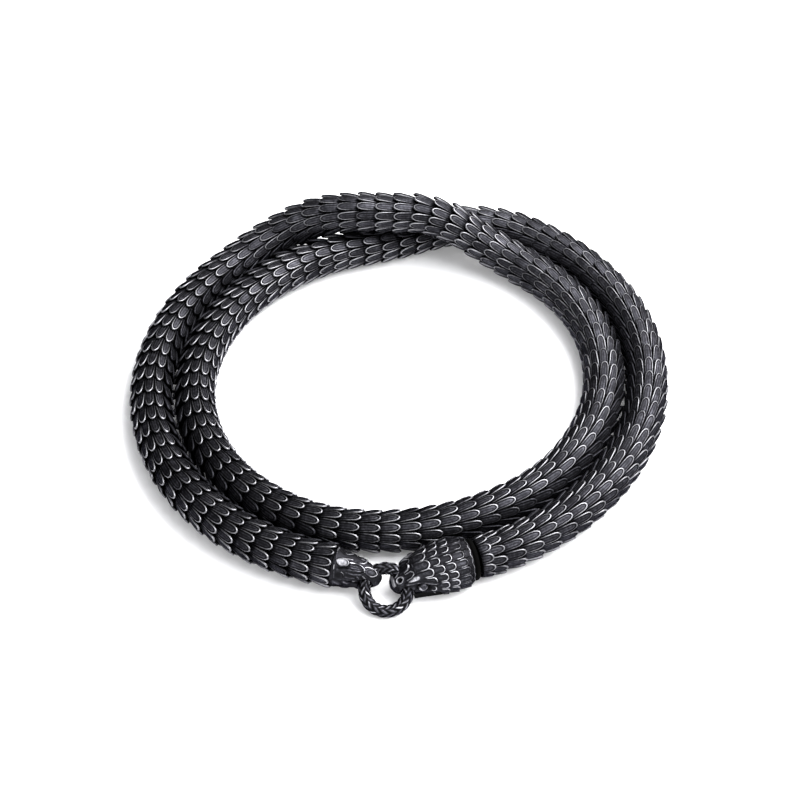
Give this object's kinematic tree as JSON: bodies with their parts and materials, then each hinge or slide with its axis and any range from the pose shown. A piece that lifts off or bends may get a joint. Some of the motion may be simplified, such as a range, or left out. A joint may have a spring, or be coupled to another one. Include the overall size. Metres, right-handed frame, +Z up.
{
  "type": "snake necklace",
  "caption": "Blackened steel necklace of scaled cup links wound in two turns, closed at a snake head, a ring and a tapered tail cap.",
  "frame": {"origin": "middle of the two turns, on the surface the necklace lies on", "axes": "+Z up, through the neck loop; -Y from the middle of the turns to the clasp; +X to the right, the side where the head's first links are"},
  "size_m": [0.116, 0.1145, 0.0185],
  "materials": {
    "chain_steel": "blackened steel, petal edges worn bright",
    "clasp_steel": "cast and blackened steel, raised lines polished",
    "black_gate": "matte black",
    "black_rubber": "matte black"
  },
  "bodies": {
    "root": {"head": "clasp_steel", "jaw_gate": "black_gate", "neck_band": "black_rubber", "chain_head_half": "chain_steel", "chain_tail_half": "chain_steel", "clasp_ring": "clasp_steel", "tail_cap": "clasp_steel"}
  },
  "joints": []
}
